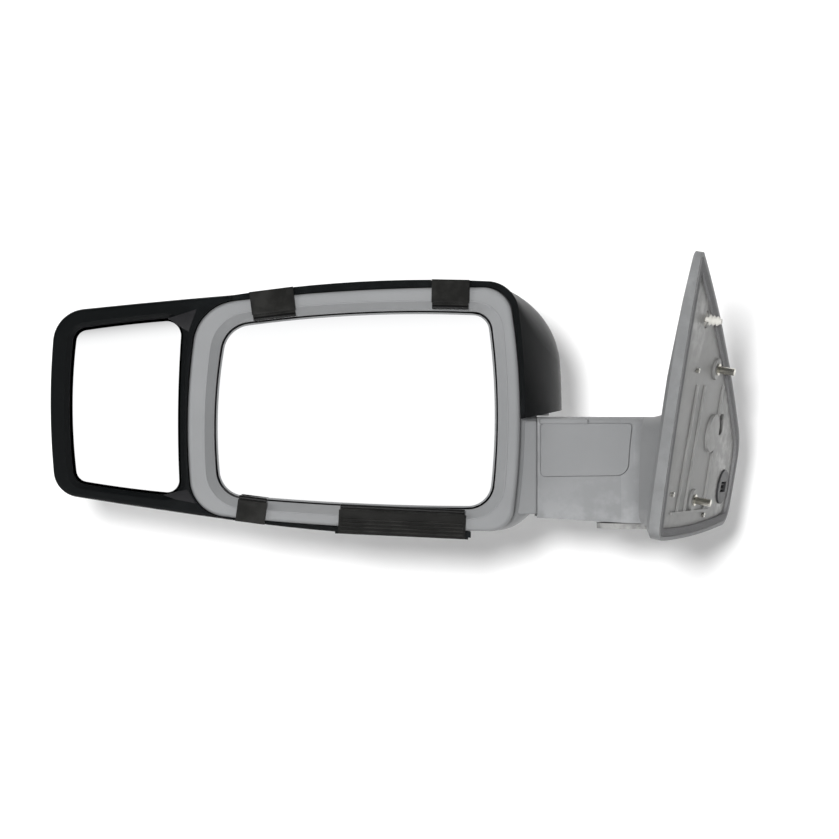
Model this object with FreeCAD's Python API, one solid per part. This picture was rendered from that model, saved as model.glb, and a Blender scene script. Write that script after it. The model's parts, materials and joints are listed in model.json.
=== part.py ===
"""Door mirror of a pickup truck with its clip-on towing extension, as an assembly.

Frame: origin on the door, where the middle of the mirror's base meets it; +X points from the
mirror head towards the door, +Y towards the front of the truck, +Z up. Millimetres.
Head pieces are drawn about the middle of the glass opening. Base pieces are drawn in the door's
own frame (forward, outboard, up) and then turned and leaned to the door.
"""
import FreeCAD, Part
import math
import os

Vector = FreeCAD.Vector
Placement = FreeCAD.Placement
Rotation = FreeCAD.Rotation

# ---- where the head and the pivot are -------------------------------------------------------
HEAD_REACH = 298.0          # middle of the glass opening, outboard of the door mount
HEAD_RISE = 20.0            # and above it
PIVOT_X = -72.0             # vertical axis that the arm folds about
DOOR_TURN = 21.5            # the door's skin against the mirror's own fore-and-aft line, degrees
DOOR_LEAN = 10.0            # the door leans in at the top, degrees

# ---- glass opening and bezel (seen from behind, outboard on the left) ------------------------
OPENING_W = 221.5
OPENING_H_OUT = 141.0
OPENING_H_IN = 162.0
OPENING_DROP = 1.2          # the opening's middle line against the head's
RAKE = 2.5                  # top corners stand inboard of the bottom ones by twice this
BEZEL_RIM_OUT = 20.5
BEZEL_RIM_IN = 14.8
BEZEL_H_OUT = 171.0
BEZEL_H_IN = 200.0
BEZEL_BACK = -48.0          # rear face of the bezel
BEZEL_DEPTH = 14.0
BEZEL_STEP = 7.0            # sloping inner step, across
BEZEL_STEP_DEPTH = 7.0
BEZEL_EDGE_R = 4.0

# ---- main glass and its drive ---------------------------------------------------------------
GLASS_GAP = 2.6             # between the glass and the opening
GLASS_BACK = -36.0
GLASS_T = 2.4
HEATER_T = 0.6
BACKING_T = 2.6
PIVOT_PLANE = -22.0         # depth of the ball's middle and of the jackscrew tips
BALL_R = 9.0
SOCKET_GAP = 0.3
SOCKET_T = 2.6
PAN_LEVER = 34.0
TILT_LEVER = 29.0
JACK_TIP_R = 3.6
JACK_STEM_R = 2.2
ACTUATOR_W = 98.0
ACTUATOR_H = 80.0
ACTUATOR_FRONT = 18.0       # its front face, against the head frame
ACTUATOR_BACK = -11.0
FRAME_T = 4.0

# ---- housing and the towing extension's shell -----------------------------------------------
HOUSING_WALL = 2.8
HOUSING_INNER_END = 149.0   # inboard end of the housing, where the arm starts
SHELL_WALL = 3.2
SHELL_BACK = -45.0
BAND_TOP = 6.5              # black band above the bezel
BAND_BOTTOM = 5.0
LIP_GAP = 0.6               # between the shell's lip and the bezel
LIP_T = 2.6
ARM_NOTCH_X = 94.0          # the shell is open inboard of this, below the arm's top
ARM_NOTCH_Z = -5.0
ARM_NOTCH_RISE = 0.2        # the shell's lower edge climbs inboard of the arm's start

# ---- outboard (spotter) mirror --------------------------------------------------------------
SPOTTER_EDGE = -246.5       # outboard corners of the extension
SPOTTER_TOP = 80.0
SPOTTER_BOTTOM = -69.0
SHOULDER_X = -100.0         # where the extension's edges meet the bezel's band
SHOULDER_TOP = 94.0
SHOULDER_BOTTOM = -91.0
SPOTTER_OPEN_OUT = -231.5
SPOTTER_OPEN_IN = -144.0
SPOTTER_OPEN_TOP_OUT = 66.0
SPOTTER_OPEN_TOP_IN = 76.0
SPOTTER_OPEN_BOT_OUT = -60.0
SPOTTER_OPEN_BOT_IN = -71.5
SPOTTER_BEZEL_BACK = -49.0
SPOTTER_GLASS_BACK = -40.0
SPOTTER_GLASS_GAP = 2.2
SPOTTER_PIVOT_PLANE = -26.0

# ---- clips ----------------------------------------------------------------------------------
CLIP_T = 3.2
CLIP_GAP = 0.3
CLIP_PROUD = 0.1
CLIP_FACE_H = 19.0
CLIP_LIP_H = 5.0
OUTER_CLIP_W = 36.0
INNER_CLIP_W = 31.0
BOTTOM_CLIP_W = 24.0
CLAMP_W = 104.0
CLAMP_H = 21.5
CLAMP_X = 37.0
CLAMP_PIN_R = 0.9
CLAMP_BARREL_R = 1.9
CLAMP_PIN_Y = -14.0         # depth of the pin that the clamp swings on
CLAMP_LUG = 3.0

# ---- arm ------------------------------------------------------------------------------------
ARM_ROOT_R = 28.0
ARM_TOP = 14.0
ARM_BOTTOM_ROOT = -74.0
ARM_BOTTOM_HEAD = -69.5
ARM_HALF_T = 27.0
ARM_WALL = 2.8
ARM_EDGE_R = 7.0
SEAM_GAP = 0.3
PANEL_T = 2.2
PANEL_H = 43.0
PANEL_PROUD = 0.9
FOLD_REAR = 60.0            # how far the arm folds each way, degrees
FOLD_FRONT = 55.0
FOLD_CLEAR = 1.8

# ---- pivot ----------------------------------------------------------------------------------
POST_R = 12.0
POST_BORE_R = 8.0
POST_TOP = 4.0
RUNNING_GAP = 0.08
HUB_R = 22.0
HUB_TOP = -46.0
DETENT_R = 20.0
DETENT_T = 4.0
DETENT_GAP = 1.6
FOOT_R = 26.0
FOOT_BOTTOM = -79.0
SPRING_WIRE = 3.4
SPRING_R = 16.2
SPRING_TURNS = 5
RETAINER_R = 20.0
RETAINER_T = 4.0

# ---- door base ------------------------------------------------------------------------------
SAIL_REAR = -112.0          # bottom rear corner; the tip stands further back
SAIL_TIP_REAR = -126.0
SAIL_FRONT = 92.0
SAIL_BOTTOM = -87.0
SAIL_APEX = 151.0
SAIL_FRONT_TOP = -8.0       # height of the corner where the front edge starts to slope
SAIL_FRONT_R = 40.0
SAIL_DEPTH = 13.0
SAIL_TAPER_FROM = 45.0      # above this height the sail thins towards its tip
SAIL_TIP_DEPTH = 6.0
COVER_BOTTOM = -87.0
SAIL_WALL = 3.0
GASKET_W = 6.0
GASKET_T = 2.5
BRACKET_T = 5.0
SADDLE_GAP = 0.5
SADDLE_REACH = 23.0         # the saddle stops this far inboard of the pivot's axis
BOSS_SECTIONS = [(4.0, -96.0, 42.0, 36.0, -80.0, 22.0),    # depth, rear, front, top, bottom, radius
                 (24.0, -76.0, 26.0, 14.0, -81.0, 18.0),
                 (50.0, -62.0, 10.0, 4.0, -84.0, 12.0)]
FIT_GAP = 0.4
BRACKET_RIB_T = 2.4
BRACKET_RIBS = [-66.0, -44.0, 12.0]
BRACKET_RIB_TOP = 40.0
BRACKET_RIB_LOW = -66.0
PAD_R = 16.0
STUD_BOSS_R = 9.0
STUD_BOSS_T = 9.0
STUD_SUNK = 7.2             # stud length held in the bracket
STUD_COLLAR_R = 5.0
STUD_COLLAR_T = 1.2
CLIP_HEAD_R = 7.0
CLIP_HEAD_AT = 6.0          # depth of the clip's head in the base
PLUG_R = 14.6
PLUG_W = 18.0
PLUG_H = 12.0
PLUG_WALL = 1.5
SLOT_CORNERS = [(16, 16), (36, 16), (36, -2), (16, -2)]
SLOT_R = 7.0
BASE_SCREWS = [(-74.0, 52.0), (-86.0, -50.0), (16.0, -70.0)]
STUD_R = 3.0
STUD_OUT = 14.0             # stud length that stands out of the door face
STUDS = [(-19.0, 54.0), (-24.0, -56.0)]
CLIP_PLACE = (-70.0, 94.0)  # push-in clip on the sail, forward and up
CLIP_STEM = 16.0
CONNECTOR_PLACE = (63.0, -47.0)


# ---- outlines -------------------------------------------------------------------------------
def bulged_side(start, end, bulge, middle):
    """Edge between two corners that bows away from the middle."""
    if abs(bulge) < 0.01:
        return Part.LineSegment(start, end).toShape()
    halfway = (start + end) * 0.5
    crown = halfway + side_normal(start, end, middle) * bulge
    return Part.Arc(start, crown, end).toShape()


def moved_corners(points, grow):
    """The corners after every side has moved outwards by the same distance."""
    moved = []
    count = len(points)
    middle = sum(points, Vector()) * (1.0 / count)
    for i, point in enumerate(points):
        before = side_normal(points[i - 1], point, middle)
        after = side_normal(point, points[(i + 1) % count], middle)
        moved.append(point + (before + after) * (grow / (1.0 + before.dot(after))))
    return moved


def side_normal(start, end, middle):
    """Unit vector across a side, pointing away from the middle."""
    along = end - start
    across = Vector(along.z, 0, -along.x).normalize()
    if across.dot((start + end) * 0.5 - middle) < 0:
        across = across * -1
    return across


def outline(corners, bulges, radii, depth, grow=0.0):
    """Closed wire in a plane of constant depth: bowed sides, and each corner rounded."""
    points = moved_corners([Vector(x, 0, z) for x, z in corners], grow)
    middle = sum(points, Vector()) * (1.0 / len(points))
    sides = []
    for i, start in enumerate(points):
        sides.append(bulged_side(start, points[(i + 1) % len(points)], bulges[i], middle))
    blank = Part.Face(Part.Wire(sides)).extrude(Vector(0, 10, 0))
    for point, radius in zip(points, radii):
        if radius:
            blank = blank.makeFillet(max(radius + grow, 0.6), [upright_edge(blank, point)])
    near = [face for face in blank.Faces if abs(face.CenterOfMass.y) < 1e-6]
    edges = near[0].OuterWire.OrderedEdges
    first = min(range(len(edges)), key=lambda i: side_distance(edges[i], points))
    wire = Part.Wire(edges[first:] + edges[:first])
    return wire.translated(Vector(0, depth, 0))


def upright_edge(shape, point):
    """The blank's edge that runs in depth through a corner."""
    for edge in shape.Edges:
        ends = [vertex.Point for vertex in edge.Vertexes]
        if len(ends) == 2 and abs(ends[0].y - ends[1].y) > 5:
            if math.hypot(ends[0].x - point.x, ends[0].z - point.z) < 1e-4:
                return edge
    raise ValueError("no edge at %s" % point)


def side_distance(edge, points):
    """How far an edge's middle is from the middle of the first side."""
    halfway = (points[0] + points[1]) * 0.5
    return edge.CenterOfMass.distanceToPoint(halfway)


def slab(wire, back, front):
    """Solid between two depths with the wire as its outline."""
    flat = Part.Face(wire.translated(Vector(0, back - wire.BoundBox.YMin, 0)))
    return flat.extrude(Vector(0, front - back, 0))


def loft(wires, ruled=False):
    return Part.makeLoft(wires, True, ruled)


def tube(radius, bore, start, length, axis):
    """Hollow cylinder, or a solid one when the bore is nought."""
    body = Part.makeCylinder(radius, length, start, axis)
    if bore > 0:
        body = body.cut(Part.makeCylinder(bore, length, start, axis))
    return body


def box(low, high):
    return Part.makeBox(high[0] - low[0], high[1] - low[1], high[2] - low[2], Vector(*low))


def fuse(shapes):
    joined = shapes[0].multiFuse(shapes[1:]) if len(shapes) > 1 else shapes[0]
    return joined.removeSplitter()


def half_space(point, normal, size=900.0):
    """A large block that starts at a plane and lies on the side its normal points to."""
    block = Part.makeBox(size, size, size, Vector(-size / 2, -size / 2, 0))
    block.Placement = Placement(point, Rotation(Vector(0, 0, 1), normal))
    return block


# ---- named outlines of the head -------------------------------------------------------------
def opening_outline(depth, grow=0.0):
    half = OPENING_W / 2
    top_out = OPENING_H_OUT / 2 - OPENING_DROP
    top_in = OPENING_H_IN / 2 - OPENING_DROP
    corners = [(-half + RAKE, top_out), (half - RAKE / 4, top_in),
               (half + RAKE / 4, top_in - OPENING_H_IN), (-half - RAKE, top_out - OPENING_H_OUT)]
    return outline(corners, [5.4, 5.7, 2.8, 6.0], [26, 16, 22, 24], depth, grow)


def bezel_outline(depth, grow=0.0):
    half = OPENING_W / 2
    left = -half - BEZEL_RIM_OUT
    right = half + BEZEL_RIM_IN
    corners = [(left + RAKE, BEZEL_H_OUT / 2), (right - RAKE / 2, BEZEL_H_IN / 2),
               (right + RAKE / 2, -BEZEL_H_IN / 2), (left - RAKE, -BEZEL_H_OUT / 2)]
    return outline(corners, [4.8, 8.8, 3.6, 7.0], [38, 24, 20, 32], depth, grow)


def housing_outline(depth, inset, inner_end, radii, grow=0.0):
    """Outline of the housing: the bezel's, drawn in by an inset, with its own inboard end."""
    half = OPENING_W / 2
    left = -half - BEZEL_RIM_OUT + inset
    top_out = BEZEL_H_OUT / 2 - inset
    top_in = BEZEL_H_IN / 2 - inset
    corners = [(left + RAKE, top_out), (inner_end, top_in),
               (inner_end, -top_in), (left - RAKE, -top_out)]
    return outline(corners, [4.8, 8.0, 3.6, 6.0], radii, depth, grow)


def shell_outline(depth, inset, inner_end, radii, grow=0.0):
    """Outline of the extension's shell: round the spotter, then a band round the bezel."""
    top_in = BEZEL_H_IN / 2 + BAND_TOP - 2.5 - inset
    bottom_in = -BEZEL_H_IN / 2 - BAND_BOTTOM + inset
    corners = [(SPOTTER_EDGE + inset, SPOTTER_TOP - inset), (SHOULDER_X, SHOULDER_TOP - inset),
               (inner_end, top_in), (inner_end, bottom_in),
               (SHOULDER_X, SHOULDER_BOTTOM + inset), (SPOTTER_EDGE + inset, SPOTTER_BOTTOM + inset)]
    return outline(corners, [0.5, 6.5, 8.5, 4.5, 0.5, 4.4], radii, depth, grow)


def spotter_opening(depth, grow=0.0):
    corners = [(SPOTTER_OPEN_OUT, SPOTTER_OPEN_TOP_OUT), (SPOTTER_OPEN_IN + 3, SPOTTER_OPEN_TOP_IN),
               (SPOTTER_OPEN_IN + 1, SPOTTER_OPEN_BOT_IN), (SPOTTER_OPEN_OUT, SPOTTER_OPEN_BOT_OUT)]
    return outline(corners, [1.0, -2.5, 1.0, 4.0], [12, 14, 12, 12], depth, grow)


def housing_form(inset):
    """Solid form of the housing, smaller all round by an inset."""
    wires = [bezel_outline(BEZEL_BACK + BEZEL_DEPTH, -inset),
             housing_outline(-12, 0, 146, [38, 46, 34, 32], -inset),
             housing_outline(18, 8, 152, [38, 52, 44, 34], -inset),
             housing_outline(44 - inset, 38, 116, [24, 34, 32, 24], -inset)]
    return loft(wires)


def shell_form(inset, back):
    """Solid form of the towing extension, smaller all round by an inset."""
    wires = [shell_outline(back, 0, 130, [28, 0, 26, 24, 0, 22], -inset),
             shell_outline(-16, 0, 152, [28, 0, 62, 40, 0, 22], -inset),
             shell_outline(14, 4, 163, [30, 0, 68, 50, 0, 24], -inset),
             shell_outline(50 - inset, 36, 124, [26, 0, 44, 40, 0, 24], -inset)]
    return loft(wires)


# ---- head: bezel, housing, frame, glass ------------------------------------------------------
def make_bezel():
    front = BEZEL_BACK + BEZEL_DEPTH
    ring = slab(bezel_outline(0), BEZEL_BACK, front)
    rim = [edge for edge in ring.Edges if abs(edge.BoundBox.YMin - BEZEL_BACK) < 1e-6
           and abs(edge.BoundBox.YMax - BEZEL_BACK) < 1e-6]
    ring = ring.makeFillet(BEZEL_EDGE_R, rim)
    ring = ring.cut(slab(opening_outline(0), BEZEL_BACK - 1, front + 1))
    step = loft([opening_outline(BEZEL_BACK, BEZEL_STEP),
                 opening_outline(BEZEL_BACK + BEZEL_STEP_DEPTH, 0.01)], True)
    return ring.cut(step)


def make_housing():
    hollow = loft([bezel_outline(BEZEL_BACK + BEZEL_DEPTH - 0.5, -HOUSING_WALL),
                   bezel_outline(BEZEL_BACK + BEZEL_DEPTH + 0.01, -HOUSING_WALL)], True)
    shell = housing_form(0).cut(housing_form(HOUSING_WALL)).cut(hollow)
    end = box((HOUSING_INNER_END, -90, -200), (400, 90, ARM_NOTCH_Z))
    beam_way = box((HOUSING_INNER_END - 30, -11, hub_bottom() + 6 - HEAD_RISE),
                   (HOUSING_INNER_END + 10, 11, 4 - HEAD_RISE))
    return largest(shell.cut(end).cut(beam_way))


def largest(shape):
    return max(shape.Solids, key=lambda solid: solid.Volume)


def make_head_frame():
    """Moulded frame inside the housing: a ribbed plate that carries the drive and meets the arm."""
    plate = slab(housing_outline(0, 22, 128, [24, 34, 30, 24]), ACTUATOR_FRONT, ACTUATOR_FRONT + FRAME_T)
    window = slab(outline([(-96, 40), (-58, 44), (-58, -44), (-98, -40)], [0, 0, 0, 0],
                          [8, 8, 8, 8], 0), ACTUATOR_FRONT - 1, ACTUATOR_FRONT + FRAME_T + 1)
    ribs = [box((-104, 8, z - 1.5), (106, ACTUATOR_FRONT, z + 1.5)) for z in (-56.0, 56.0)]
    frame = fuse([plate] + ribs).cut(window)
    wiring = tube(12, 0, Vector(80, 0, 30), 60, Vector(0, 1, 0))
    frame = frame.cut(wiring)
    for x, z in frame_screw_places():
        frame = frame.cut(tube(2.2, 0, Vector(x, 0, z), 60, Vector(0, 1, 0)))
    for place in arm_screw_places():
        hole = place - Vector(-HEAD_REACH, 0, HEAD_RISE)
        frame = frame.cut(tube(2.7, 0, hole - Vector(0, FRAME_T + 1, 0), FRAME_T + 2, Vector(0, 1, 0)))
    return frame


def frame_screw_places():
    return [(-100.0, 48.0), (-102.0, -48.0), (104.0, 60.0), (104.0, -60.0)]


def actuator_screw_places():
    return [(-42.0, 33.0), (42.0, 33.0), (-42.0, -33.0)]


def make_actuator():
    """Drive housing with the fixed half of the ball socket and a bore for each jackscrew."""
    half_w = ACTUATOR_W / 2
    half_h = ACTUATOR_H / 2
    body = slab(outline([(-half_w, half_h), (half_w, half_h), (half_w, -half_h), (-half_w, -half_h)],
                        [0, 0, 0, 0], [14, 14, 14, 14], 0), ACTUATOR_BACK, ACTUATOR_FRONT)
    centre = Vector(0, PIVOT_PLANE, 0)
    outer_r = BALL_R + SOCKET_GAP + SOCKET_T
    neck = tube(outer_r, 0, centre, ACTUATOR_BACK - PIVOT_PLANE + 1, Vector(0, 1, 0))
    body = body.fuse(neck)
    body = body.cut(Part.makeSphere(BALL_R + SOCKET_GAP, centre))
    body = body.cut(box((-40, PIVOT_PLANE - 30, -40), (40, PIVOT_PLANE + 1.8, 40)))
    for x, z in ((PAN_LEVER, 0), (0, -TILT_LEVER)):
        body = body.cut(tube(JACK_STEM_R + 0.3, 0, Vector(x, ACTUATOR_BACK - 1, z), 24, Vector(0, 1, 0)))
    motor_bay = box((-41, ACTUATOR_BACK + 3, 8), (-8, ACTUATOR_FRONT - 3, 34))
    body = body.cut(motor_bay)
    motor_bay = box((8, ACTUATOR_BACK + 3, -34), (41, ACTUATOR_FRONT - 3, -8))
    body = body.cut(motor_bay)
    for x, z in actuator_screw_places():
        body = body.cut(tube(2.2, 0, Vector(x, ACTUATOR_BACK - 1, z), 40, Vector(0, 1, 0)))
    return body


def make_motors():
    """The two small motors of the drive, one lying in each bay."""
    motors = []
    for x, z in ((-40.0, 21.0), (9.0, -21.0)):
        depth = (ACTUATOR_BACK + ACTUATOR_FRONT) / 2
        can = tube(10, 0, Vector(x, depth, z), 22, Vector(1, 0, 0))
        shaft = tube(1.2, 0, Vector(x + 22, depth, z), 8, Vector(1, 0, 0))
        worm = tube(3.0, 0, Vector(x + 23, depth, z), 6, Vector(1, 0, 0))
        motors.append(fuse([can, shaft, worm]))
    return Part.makeCompound(motors)


def make_jackscrew(x, z):
    centre = Vector(x, PIVOT_PLANE, z)
    tip = Part.makeSphere(JACK_TIP_R, centre)
    stem = tube(JACK_STEM_R, 0, centre, 26, Vector(0, 1, 0))
    return tip.fuse(stem).removeSplitter()


def make_ball(x, depth, z):
    """Pivot ball with a flat and a blind bore on its rear side."""
    ball = Part.makeSphere(BALL_R, Vector(x, depth, z))
    return ball.cut(tube(2.5, 0, Vector(x, depth - BALL_R - 1, z), 9, Vector(0, 1, 0)))


def make_backing(wire, inner_wire, plate_back, centre, plate_t):
    """Backing plate with a rim, ribs and the moving half of the ball socket."""
    plate = slab(wire, plate_back, plate_back + plate_t)
    rim = slab(wire, plate_back, plate_back + plate_t + 3).cut(
        slab(inner_wire, plate_back - 1, plate_back + plate_t + 4))
    outer_r = BALL_R + SOCKET_GAP + SOCKET_T
    length = centre.y - plate_back
    cup = tube(outer_r, 0, Vector(centre.x, plate_back, centre.z), length, Vector(0, 1, 0))
    web = tube(outer_r + 16, outer_r + 13.5, Vector(centre.x, plate_back, centre.z), plate_t + 3,
               Vector(0, 1, 0))
    back = fuse([plate, rim, cup, web])
    back = back.cut(Part.makeSphere(BALL_R + SOCKET_GAP, centre))
    keep_out = box((centre.x - 30, centre.y - 1.8, centre.z - 30),
                   (centre.x + 30, centre.y + 30, centre.z + 30))
    return back.cut(keep_out)


def add_jack_socket(plate, plate_back, x, z):
    """Open claw on the backing that holds a jackscrew's ball tip."""
    centre = Vector(x, PIVOT_PLANE, z)
    start = Vector(x, plate_back, z)
    claw = tube(JACK_TIP_R + 2.6, 0, start, PIVOT_PLANE + 1.6 - plate_back, Vector(0, 1, 0))
    claw = claw.cut(Part.makeSphere(JACK_TIP_R + 0.45, centre))
    mouth = tube(JACK_STEM_R + 1.0, 0, centre, 10, Vector(0, 1, 0))
    inside = Part.makeSphere(JACK_TIP_R + 0.45, centre)
    return plate.cut(inside).fuse(claw.cut(mouth)).removeSplitter()


def make_main_backing():
    back = GLASS_BACK + GLASS_T + HEATER_T
    plate = make_backing(opening_outline(0, -GLASS_GAP - 1.0), opening_outline(0, -GLASS_GAP - 3.0),
                         back, Vector(0, PIVOT_PLANE, 0), BACKING_T)
    plate = add_jack_socket(plate, back, PAN_LEVER, 0)
    return add_jack_socket(plate, back, 0, -TILT_LEVER)


def make_main_glass():
    return slab(opening_outline(0, -GLASS_GAP), GLASS_BACK, GLASS_BACK + GLASS_T)


def make_heater():
    return slab(opening_outline(0, -GLASS_GAP - 8), GLASS_BACK + GLASS_T,
                GLASS_BACK + GLASS_T + HEATER_T)


def screw(place, direction, head_r, shank_r, length):
    """Pan-head screw: the head starts at its place and the shank runs on along the direction."""
    head = tube(head_r, 0, place - direction * 2.2, 2.2, direction)
    shank = tube(shank_r, 0, place, length, direction)
    drive = tube(head_r * 0.42, 0, place - direction * 2.3, 1.3, direction)
    return head.fuse(shank).removeSplitter().cut(drive)


def make_frame_screws():
    front = ACTUATOR_FRONT + FRAME_T
    return Part.makeCompound([screw(Vector(x, front, z), Vector(0, -1, 0), 4.2, 2.1, 12)
                              for x, z in frame_screw_places()])


def make_actuator_screws():
    return Part.makeCompound([screw(Vector(x, ACTUATOR_BACK, z), Vector(0, 1, 0), 4.0, 2.1, 26)
                              for x, z in actuator_screw_places()])


# ---- towing extension ------------------------------------------------------------------------
def lip_hole(depth_back, depth_front):
    return slab(bezel_outline(0, LIP_GAP), depth_back, depth_front)


def arm_notch(grow=0.0):
    """Space in the shell that the arm and the inboard corner of the bezel need."""
    far = 420.0
    near = ARM_NOTCH_X - grow
    reach = far - HOUSING_INNER_END
    top = ARM_NOTCH_Z + grow
    corners = [(near, top + (near - HOUSING_INNER_END) * ARM_NOTCH_RISE), (far, top + reach * ARM_NOTCH_RISE),
               (far, -160), (near, -160)]
    return slab(outline(corners, [0, 0, 0, 0], [22, 0, 0, 0], 0), -90, 90)


def make_shell():
    """One moulded shell over the front of the mirror, carried outboard round the spotter."""
    form = shell_form(0, SHELL_BACK)
    hollow = shell_form(SHELL_WALL, SHELL_BACK + LIP_T)
    shell = form.cut(hollow)
    shell = shell.cut(lip_hole(SHELL_BACK - 5, BEZEL_BACK + BEZEL_DEPTH + 0.5))
    shell = shell.cut(housing_form(-LIP_GAP))
    pocket = spotter_opening(0, 4.0)
    shell = shell.cut(slab(pocket, SHELL_BACK - 5, SHELL_BACK + LIP_T + 0.5))
    shell = shell.cut(arm_notch())
    return largest(shell)


def make_spotter_bezel():
    """Frame round the spotter glass, with a waisted post beside the main bezel."""
    face = shell_outline(0, 0.2, 130, [28, 0, 26, 24, 0, 22])
    plate = slab(face, SPOTTER_BEZEL_BACK, SHELL_BACK - 0.2)
    rim = [edge for edge in plate.Edges if abs(edge.BoundBox.YMin - SPOTTER_BEZEL_BACK) < 1e-6
           and abs(edge.BoundBox.YMax - SPOTTER_BEZEL_BACK) < 1e-6]
    plate = plate.makeFillet(2.4, rim)
    plate = plate.cut(box((SHOULDER_X - 3, -100, -200), (300, 100, 200)))
    plate = plate.cut(slab(bezel_outline(0, LIP_GAP), -90, 0))
    well = slab(spotter_opening(0, 2.6), SHELL_BACK - 0.2, SHELL_BACK + LIP_T + 4)
    plate = fuse([plate, well])
    step = loft([spotter_opening(SPOTTER_BEZEL_BACK, 4.0),
                 spotter_opening(SPOTTER_BEZEL_BACK + 3.5, 0.01)], True)
    plate = plate.cut(step)
    return largest(plate.cut(slab(spotter_opening(0), -90, 0)))


def spotter_middle():
    x = (SPOTTER_OPEN_OUT + SPOTTER_OPEN_IN) / 2
    z = (SPOTTER_OPEN_TOP_OUT + SPOTTER_OPEN_BOT_OUT + SPOTTER_OPEN_TOP_IN + SPOTTER_OPEN_BOT_IN) / 4
    return Vector(x, SPOTTER_PIVOT_PLANE, z)


def make_spotter_bracket():
    """Plate in the outboard part of the shell with the fixed half of the spotter's socket."""
    middle = spotter_middle()
    outer_r = BALL_R + SOCKET_GAP + SOCKET_T
    corners = [(middle.x - 38, middle.z + 46), (middle.x + 38, middle.z + 52),
               (middle.x + 38, middle.z - 52), (middle.x - 38, middle.z - 46)]
    plate = slab(outline(corners, [0, 0, 0, 0], [12, 12, 12, 12], 0), -3, 1)
    ribs = [box((middle.x - 34, -9, middle.z + dz - 1.5), (middle.x + 34, -3, middle.z + dz + 1.5))
            for dz in (-32.0, 32.0)]
    neck = tube(outer_r, 0, middle, -2 - middle.y, Vector(0, 1, 0))
    bracket = fuse([plate, neck] + ribs)
    bracket = bracket.cut(Part.makeSphere(BALL_R + SOCKET_GAP, middle))
    bracket = bracket.cut(box((middle.x - 20, -60, middle.z - 20),
                              (middle.x + 20, middle.y + 1.8, middle.z + 20)))
    for place in spotter_screw_places():
        bracket = bracket.cut(tube(2.2, 0, Vector(place.x, -20, place.z), 40, Vector(0, 1, 0)))
    return bracket


def spotter_screw_places():
    middle = spotter_middle()
    return [Vector(middle.x + dx, -3, middle.z + dz) for dx in (-29, 29) for dz in (-40, 40)]


def make_spotter_bosses():
    """Towers on the inside of the shell that the bracket screws to."""
    towers = []
    form = shell_form(SHELL_WALL - 0.4, SHELL_BACK + LIP_T)
    for place in spotter_screw_places():
        tower = tube(5.0, 2.1, Vector(place.x, 1, place.z), 60, Vector(0, 1, 0))
        towers.append(tower.common(form))
    return towers


def make_spotter_screws():
    return Part.makeCompound([screw(place, Vector(0, 1, 0), 4.0, 2.1, 12)
                              for place in spotter_screw_places()])


def make_spotter_backing():
    gap = SPOTTER_GLASS_GAP
    return make_backing(spotter_opening(0, -gap - 1.0), spotter_opening(0, -gap - 3.0),
                        SPOTTER_GLASS_BACK + GLASS_T, spotter_middle(), BACKING_T)


def make_spotter_glass():
    return slab(spotter_opening(0, -SPOTTER_GLASS_GAP), SPOTTER_GLASS_BACK,
                SPOTTER_GLASS_BACK + GLASS_T)


def make_claw_ring(middle):
    """Steel ring that keeps the backing's claws closed on the ball."""
    outer_r = BALL_R + SOCKET_GAP + SOCKET_T
    return tube(outer_r + 1.6, outer_r, Vector(middle.x, middle.y - 4.6, middle.z), 2.4,
                Vector(0, 1, 0))


def strap(width, edge_wrap, face_h, lip_h):
    """Clip in its own place: x across, its top edge at z = 0, hooked over a lip at the bottom."""
    back = BEZEL_BACK - CLIP_GAP - CLIP_T
    face = box((-width / 2, back, -face_h), (width / 2, BEZEL_BACK - CLIP_GAP, CLIP_PROUD))
    wrap = box((-width / 2, back, -1.2), (width / 2, edge_wrap, CLIP_PROUD))
    lip = box((-width / 2 + 0.6, back + 1.1, -face_h - lip_h),
              (width / 2 - 0.6, BEZEL_BACK - CLIP_GAP, -face_h))
    return fuse([face, wrap, lip])


def rounded(shape, radius, test):
    edges = [edge for edge in shape.Edges if test(edge)]
    return shape.makeFillet(radius, edges)


def clip_at(shape, x, z, slope, upside_down):
    """Put a clip on the edge at a place, level with the edge's slope."""
    turn = Rotation(Vector(0, 1, 0), -slope)
    if upside_down:
        shape = shape.mirror(Vector(0, 0, 0), Vector(0, 0, 1))
    shape = shape.copy()
    shape.Placement = Placement(Vector(x, 0, z), turn)
    return shape


def make_clip(width, face_h, lip_h):
    blank = strap(width, -26.0, face_h, lip_h)
    back = BEZEL_BACK - CLIP_GAP - CLIP_T

    def outer_edge(edge):
        bb = edge.BoundBox
        return bb.XLength > width - 1 and bb.YMin < back + 0.01 and bb.YMax < back + 0.01
    return rounded(blank, 0.8, outer_edge)


def edge_height(x, top):
    """Height of the shell's edge above or below a place along the head."""
    span = (x - SHOULDER_X) / (130.0 - SHOULDER_X)
    bow = 4 * span * (1 - span)
    if top:
        return SHOULDER_TOP + (BEZEL_H_IN / 2 + BAND_TOP - 2.5 - SHOULDER_TOP) * span + 6.5 * bow
    return SHOULDER_BOTTOM + (-BEZEL_H_IN / 2 - BAND_BOTTOM - SHOULDER_BOTTOM) * span - 4.5 * bow


def edge_slope(x, top):
    rise = edge_height(x + 5, top) - edge_height(x - 5, top)
    return math.degrees(math.atan2(rise, 10.0))


def make_top_clip(x, width):
    clip = make_clip(width, CLIP_FACE_H, CLIP_LIP_H)
    return clip_at(clip, x, edge_height(x, True), edge_slope(x, True), False)


def make_bottom_clip():
    clip = make_clip(BOTTOM_CLIP_W, CLIP_FACE_H - 1.0, 3.2)
    x = -87.0
    return clip_at(clip, x, edge_height(x, False), edge_slope(x, False), True)


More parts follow.
